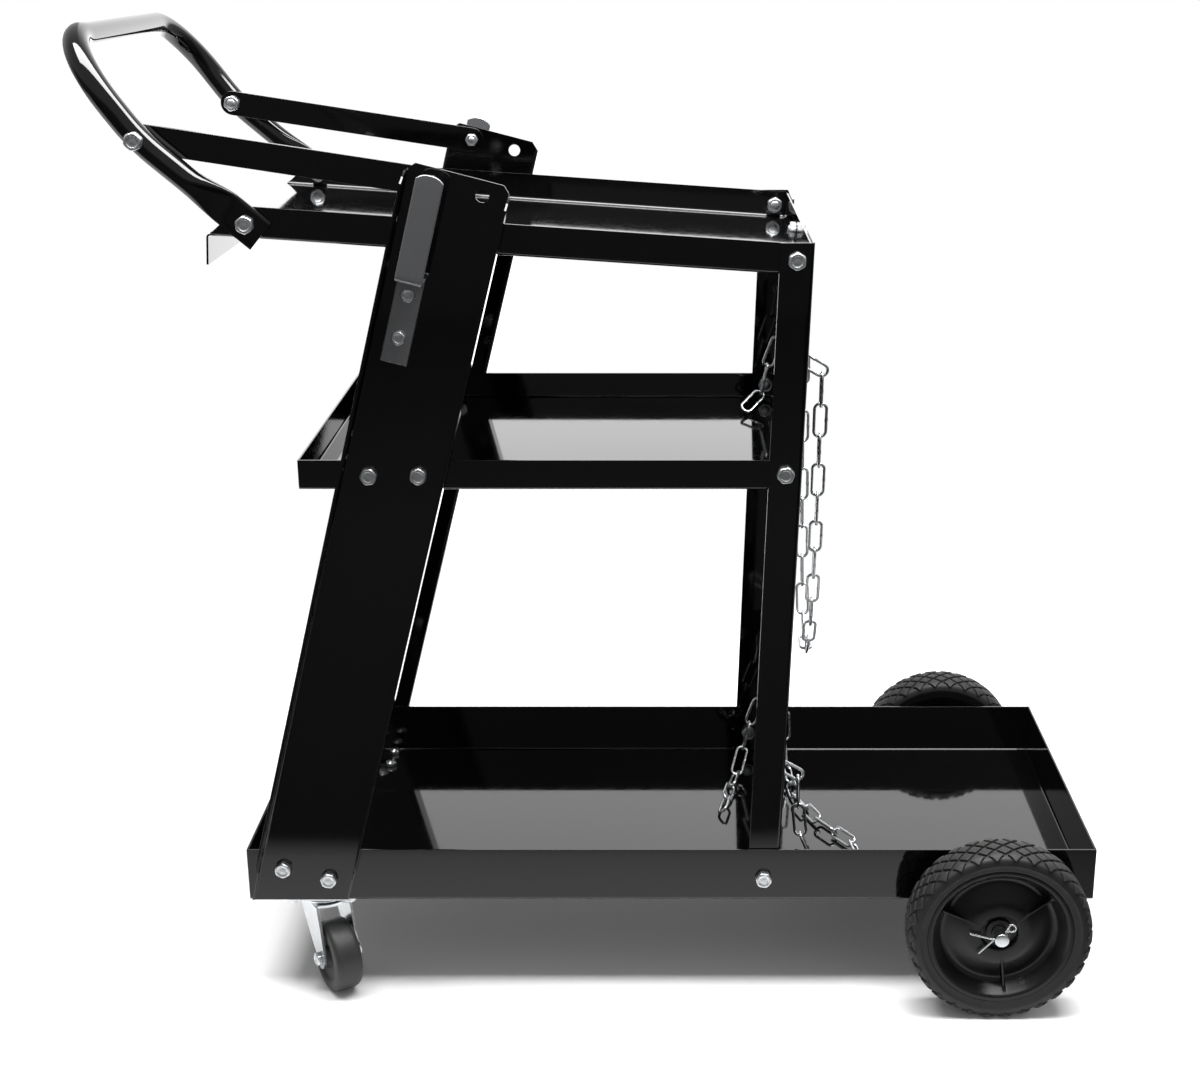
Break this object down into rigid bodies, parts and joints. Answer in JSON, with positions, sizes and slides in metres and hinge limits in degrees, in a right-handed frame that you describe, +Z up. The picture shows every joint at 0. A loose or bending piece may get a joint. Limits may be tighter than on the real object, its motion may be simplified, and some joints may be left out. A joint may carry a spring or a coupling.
{
  "type": "welding cart",
  "caption": "Wheeled sheet-steel welding cart with stacked trays, leaning channel uprights, bent tube handle, cable hooks, retaining chains, rear wheels and swivel casters.",
  "frame": {"origin": "on the floor under the middle of the overall box", "axes": "+X along the cart toward the rear wheels, +Y to the left side seen from the handle, +Z up"},
  "size_m": [0.7899, 0.395, 0.7799],
  "materials": {
    "black_powder_coat": "gloss",
    "grey_hook_steel": "satin",
    "zinc_plate": "bright zinc",
    "tyre_rubber": "matt",
    "hub_plastic": "fine matt",
    "caster_rubber": "satin"
  },
  "bodies": {
    "frame": {"bottom_tray": "black_powder_coat", "middle_tray": "black_powder_coat", "top_tray": "black_powder_coat", "front_upright_right": "black_powder_coat", "front_upright_left": "black_powder_coat", "rear_leg_right": "black_powder_coat", "rear_leg_left": "black_powder_coat", "handle_tube": "black_powder_coat", "handle_strut_right": "black_powder_coat", "handle_strut_left": "black_powder_coat", "cable_hook_right": "grey_hook_steel", "cable_hook_left": "grey_hook_steel", "bolt_foot_front_right": "zinc_plate", "bolt_foot_front_left": "zinc_plate", "bolt_foot_rear_right": "zinc_plate", "bolt_foot_rear_left": "zinc_plate", "bolt_shelf_front_right": "zinc_plate", "bolt_shelf_front_left": "zinc_plate", "bolt_shelf_rear_right": "zinc_plate", "bolt_shelf_rear_left": "zinc_plate", "bolt_top_tray_right": "zinc_plate", "bolt_top_tray_left": "zinc_plate", "bolt_strut_upright_right": "zinc_plate", "bolt_strut_upright_left": "zinc_plate", "bolt_strut_handle_right": "zinc_plate", "bolt_strut_handle_left": "zinc_plate", "bolt_handle_right": "zinc_plate", "bolt_handle_left": "zinc_plate", "bolt_leg_foot_right": "zinc_plate", "bolt_leg_foot_left": "zinc_plate", "bolt_leg_shelf_right": "zinc_plate", "bolt_leg_shelf_left": "zinc_plate", "bolt_leg_top_right": "zinc_plate", "bolt_leg_top_left": "zinc_plate", "bolt_rear_wall": "zinc_plate", "rear_axle": "zinc_plate", "split_pin_right": "zinc_plate", "split_pin_left": "zinc_plate", "axle_washer_right": "zinc_plate", "axle_washer_left": "zinc_plate", "caster_plate_right": "zinc_plate", "caster_plate_left": "zinc_plate", "upper_chain_tail": "zinc_plate", "upper_chain_stop": "zinc_plate", "lower_chain_tail": "zinc_plate", "lower_chain_stop": "zinc_plate"},
    "right_wheel": {"wheel_hub_right": "hub_plastic", "wheel_tyre_right": "tyre_rubber"},
    "left_wheel": {"wheel_hub_left": "hub_plastic", "wheel_tyre_left": "tyre_rubber"},
    "right_caster": {"caster_fork_right": "zinc_plate", "caster_axle_right": "zinc_plate"},
    "left_caster": {"caster_fork_left": "zinc_plate", "caster_axle_left": "zinc_plate"},
    "right_caster_roller": {"caster_wheel_right": "caster_rubber"},
    "left_caster_roller": {"caster_wheel_left": "caster_rubber"},
    "upper_chain": {"upper_chain_loop": "zinc_plate"},
    "lower_chain": {"lower_chain_loop": "zinc_plate"}
  },
  "joints": [
    {"name": "right_wheel_spin", "type": "hinge", "parent": "frame", "child": "right_wheel", "pos_m": [0.312, -0.1763, 0.075], "axis": [0, 1, 0], "continuous": true},
    {"name": "left_wheel_spin", "type": "hinge", "parent": "frame", "child": "left_wheel", "pos_m": [0.312, 0.1763, 0.075], "axis": [0, 1, 0], "continuous": true},
    {"name": "right_caster_swivel", "type": "hinge", "parent": "frame", "child": "right_caster", "pos_m": [-0.2435, -0.122, 0.075], "axis": [0, 0, 1], "continuous": true},
    {"name": "left_caster_swivel", "type": "hinge", "parent": "frame", "child": "left_caster", "pos_m": [-0.2435, 0.122, 0.075], "axis": [0, 0, 1], "continuous": true},
    {"name": "right_caster_roll", "type": "hinge", "parent": "right_caster", "child": "right_caster_roller", "pos_m": [-0.23217, -0.14086, 0.03], "axis": [0.8572, 0.515, 0], "continuous": true},
    {"name": "left_caster_roll", "type": "hinge", "parent": "left_caster", "child": "left_caster_roller", "pos_m": [-0.26417, 0.12952, 0.03], "axis": [-0.342, -0.9397, 0], "continuous": true},
    {"name": "upper_chain_swing", "type": "hinge", "parent": "frame", "child": "upper_chain", "pos_m": [0.16381, 0, 0.51728], "axis": [0, -1, 0], "range_deg": [-2, 90]},
    {"name": "lower_chain_lift", "type": "hinge", "parent": "frame", "child": "lower_chain", "pos_m": [0.15298, 0, 0.17228], "axis": [0, -1, 0], "range_deg": [0, 70]}
  ]
}
